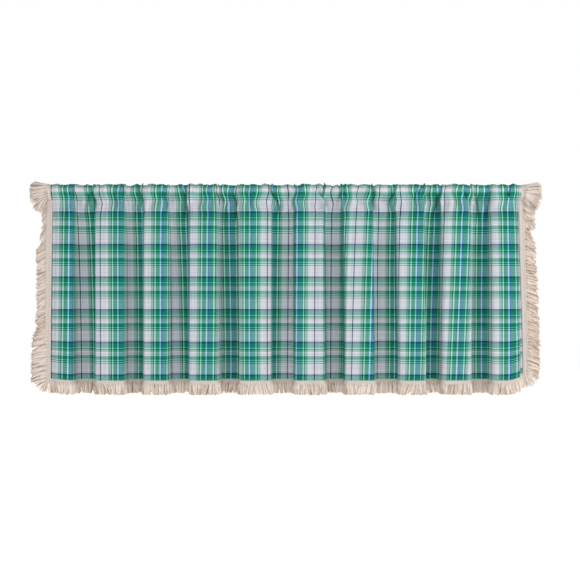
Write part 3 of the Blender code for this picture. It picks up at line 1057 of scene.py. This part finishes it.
def add_yarns(bundle, stations, edging):
    """Yarns in small locks along the tape, with painted shade at one side of a lock and towards the back."""
    for layer in range(edging.layers):
        deep = (layer + 0.5) / edging.layers * 2 - 1
        at, edge = 0, along_edge(stations, YARN_PITCH)
        while at < len(edge):
            spread = random.uniform(-LOCK_COUNT_SPREAD, LOCK_COUNT_SPREAD)
            count = max(2, round(LOCK_PITCH / YARN_PITCH + spread))
            lock = edge[at : at + count]
            middle = lock[len(lock) // 2]
            aside = middle.face.cross(middle.hang).normalized()
            lean = aside * random.uniform(-edging.lean, edging.lean)
            lean += middle.face * (random.uniform(-edging.lean, edging.lean) / 2 + deep * LAYER_SPREAD)
            grow = 1 + random.uniform(-LOCK_UNEVEN, LOCK_UNEVEN)
            # A lock's random tone, less its trim piece's painted shade and the painted shade towards the
            # back layers
            tone = random.uniform(*LOCK_TONES) - edging.shade - BACK_SHADE * (1 - deep) / 2
            # Painted shade at one side of the lock, deeper at some locks than others by chance
            gap_shade = GAP_SHADES[0] + (GAP_SHADES[1] - GAP_SHADES[0]) * random.random() ** 2
            centre = middle.place + middle.out * TAPE_WIDTH
            for index, station in enumerate(lock):
                from_middle = (index + 0.5) / len(lock) * 2 - 1
                shade = tone - gap_shade * smooth(from_middle)
                add_yarn(bundle, station, centre, lean, grow, shade, deep, edging)
            at += count


def add_yarn(bundle, station, centre, lean, grow, tone, deep, edging):
    """One yarn of a lock, on a curve from its root over the tape to its tip."""
    edge = station.place + station.out * TAPE_WIDTH
    root = edge - station.out * random.uniform(YARN_ROOT, edging.over) + station.face * deep * TAPE_HALF
    length = station.hang.length * grow * (1 + random.uniform(-YARN_UNEVEN, YARN_UNEVEN))
    way = (station.hang.normalized() + lean).normalized()
    stray = [random.uniform(-most, most) for most in (1, 1, YARN_STRAY_DOWN)]
    tip = edge + way * length + (centre - edge) * LOCK_GATHER + Vector(stray) * YARN_STRAY
    bend = edge + station.out * length * edging.droop + way * length * (0.5 - edging.droop / 2)
    wave = way.cross(station.face).normalized() * YARN_WAVE * random.uniform(-1, 1)
    line, radii = [], []
    for part in range(YARN_PARTS + 1):
        share = part / YARN_PARTS
        point = root * (1 - share) ** 2 + bend * 2 * share * (1 - share) + tip * share**2
        point += wave * math.sin(2 * math.pi * YARN_WAVES * share)
        line.append(point)
        width = YARN_ROOT_WIDTH + YARN_BELLY * math.sin(math.pi * share)
        radii.append(YARN_RADIUS * width * (YARN_TIP_WIDTH if part == YARN_PARTS else 1))
    bundle.tube(line, radii, tone + random.uniform(-YARN_TONE, YARN_TONE), 1)


# Each trim piece: the node it stands for, how many yarns deep it is, how far its yarns follow the tape's
# way out before they hang, how far its locks lean, how far its yarns' roots lie over the tape, and how
# much painted shade darkens all its yarns
Edging = namedtuple("Edging", "name node layers droop lean over shade")
EDGINGS = (
    Edging("hem_fringe", "fringe_hem", 3, 0.1, 0.18, 6 * MM, 0.0),
    Edging("left_fringe", "fringe_left", 4, 0.12, 0.18, 6 * MM, 0.0),
    Edging("right_fringe", "fringe_right", 4, 0.12, 0.18, 6 * MM, 0.2),
    Edging("left_tuft", "tuft_left", 5, 0.15, 0.16, 5 * MM, 0.12),
    Edging("right_tuft", "tuft_right", 5, 0.15, 0.16, 5 * MM, 0.0),
)


def build_fringe(edging, stations, tape, yarn):
    bundle = Bundle()
    add_tape(bundle, stations)
    add_yarns(bundle, stations, edging)
    piece = bundle.piece(edging.name, [tape, yarn])
    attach(piece, "root")
    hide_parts(edging.node)
    return piece


# Sewing

STITCH_LENGTH = 2.4 * MM
STITCH_PITCH = 3.4 * MM
STITCH_RADIUS = 0.28 * MM
STITCH_PROUD = WOVEN_THICK / 2 + 0.1 * MM
STITCH_SUNK = 1.6
STITCH_BEND = 0.25
TRIM_STITCH_INSET = 1.4 * MM


def add_stitch(bundle, start, end, face):
    lift = face * STITCH_PROUD
    sunk = face * (STITCH_PROUD - STITCH_RADIUS * STITCH_SUNK)
    up = start.lerp(end, STITCH_BEND) + lift
    down = start.lerp(end, 1 - STITCH_BEND) + lift
    line = [start + sunk, up, down, end + sunk]
    bundle.tube(line, [STITCH_RADIUS] * len(line), 1.0, 0, sides=4)


def build_pocket_stitches(material):
    """The row of stitches that closes the pocket."""
    bundle = Bundle()
    count = int(FLAT_WIDTH / STITCH_PITCH)
    for index in range(1, count):
        flat = index * STITCH_PITCH
        start = pocket_point(flat, 0)
        end = pocket_point(flat + STITCH_LENGTH, 0)
        along = end - start
        face = Vector((along.y, -along.x, 0)).normalized()
        add_stitch(bundle, start, end, face)
    return bundle.piece("pocket_stitches", [material])


def build_trim_stitches(runs, material):
    """The stitches that hold the tape to the cloth, just inside its edge."""
    bundle = Bundle()
    for stations in runs:
        for station, after in zip(stations[::2], stations[1::2]):
            start = station.place - station.out * TRIM_STITCH_INSET
            end = after.place - after.out * TRIM_STITCH_INSET
            add_stitch(bundle, start, end, station.face)
    return bundle.piece("trim_stitches", [material])


# Studio

CAMERA_PLACE = (6.5 * MM, -2.4, -229.5 * MM)
CAMERA_LENS = 68.8
FLOOR_DROP = 1.3
FLOOR_HALF = 12
FLOOR_TONE = 0.9
FLOOR_GLOW = 0.6
LIGHT_FAR = 2.6
ROOM_LIGHT = 0.55

Light = namedtuple("Light", "name azimuth elevation size power")
LIGHTS = (
    Light("soft_left", -50, 12, (1.2, 1.6), 6),
    Light("soft_right", 58, 14, (0.7, 0.9), 22),
    Light("soft_front", 6, 8, (0.8, 0.8), 12),
)


def build_camera():
    data = bpy.data.cameras.new("camera")
    data.lens = CAMERA_LENS
    camera = bpy.data.objects.new("camera", data)
    camera.location = CAMERA_PLACE
    camera.rotation_euler = (math.radians(90), 0, 0)
    bpy.context.scene.collection.objects.link(camera)
    bpy.context.scene.camera = camera


def area_light(name, azimuth, elevation, size, power):
    """A soft light that looks at the middle of the cloth. Azimuth 0 is in front and 90 at its right."""
    data = bpy.data.lights.new(name, "AREA")
    data.shape = "RECTANGLE"
    data.size, data.size_y = size
    data.energy = power
    light = bpy.data.objects.new(name, data)
    turn, rise = math.radians(azimuth), math.radians(elevation)
    back = Vector((math.sin(turn) * math.cos(rise), -math.cos(turn) * math.cos(rise), math.sin(rise)))
    light.location = Vector((0, 0, -HEM_DROP / 2)) + back * LIGHT_FAR
    light.rotation_euler = (-back).to_track_quat("-Z", "Y").to_euler()
    bpy.context.scene.collection.objects.link(light)


def build_studio():
    """A pale floor, a white room's even light and the soft lights."""
    graph = Graph("pale_floor")
    place = graph.nodes.new("ShaderNodeTexCoord").outputs["Object"]
    grain = graph.noise(place, 3.0)
    shade = graph.math("MULTIPLY_ADD", grain, 0.02, FLOOR_TONE)
    graph.links.new(graph.place(shade, shade, shade), graph.shader.inputs["Base Color"])
    graph.shader.inputs["Roughness"].default_value = 0.9
    graph.shader.inputs["Emission Color"].default_value = (1, 1, 1, 1)
    graph.shader.inputs["Emission Strength"].default_value = FLOOR_GLOW
    corners = [Vector((x, y, -FLOOR_DROP)) for x, y in ((-1, -1), (1, -1), (1, 1), (-1, 1))]
    corners = [Vector((corner.x * FLOOR_HALF, corner.y * FLOOR_HALF, corner.z)) for corner in corners]
    floor = new_mesh("floor", corners, [(0, 1, 2, 3)], [graph.material])
    world = bpy.data.worlds.new("white_room")
    world.use_nodes = True
    bpy.context.scene.world = world
    back = world.node_tree.nodes["Background"]
    back.inputs["Color"].default_value = (1, 1, 1, 1)
    path = world.node_tree.nodes.new("ShaderNodeLightPath")
    strength = world.node_tree.nodes.new("ShaderNodeMath")
    strength.operation = "MULTIPLY_ADD"
    strength.inputs[1].default_value = 1 - ROOM_LIGHT
    strength.inputs[2].default_value = ROOM_LIGHT
    world.node_tree.links.new(path.outputs["Is Camera Ray"], strength.inputs[0])
    world.node_tree.links.new(strength.outputs[0], back.inputs["Strength"])
    for light in LIGHTS:
        area_light(*light)
    bpy.context.scene.view_settings.view_transform = "Standard"



def main():
    build_camera()
    build_studio()
    tape, yarn = woven_tape(), brush_yarn()
    cloth = build_cloth(plaid_cloth())
    hem = hem_stations()
    left = side_stations(0, -1, LEFT_REACH)
    right = side_stations(FLAT_WIDTH, 1, RIGHT_REACH)
    whole_hem = corner_stations(0, -1) + hem + corner_stations(FLAT_WIDTH, 1)[::-1]
    runs = (whole_hem, left, right[::-1], tuft_stations(0, -1)[::-1], tuft_stations(FLAT_WIDTH, 1))
    trim = [build_fringe(edging, run, tape, yarn) for edging, run in zip(EDGINGS, runs)]
    sewing = build_pocket_stitches(sewing_thread("pocket_thread", THREAD_GREEN))
    holding = build_trim_stitches((hem, left, right), sewing_thread("trim_thread", THREAD_CREAM))
    for piece in (cloth, sewing, holding):
        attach(piece, "root")
    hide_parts("heading", "panel")


main()
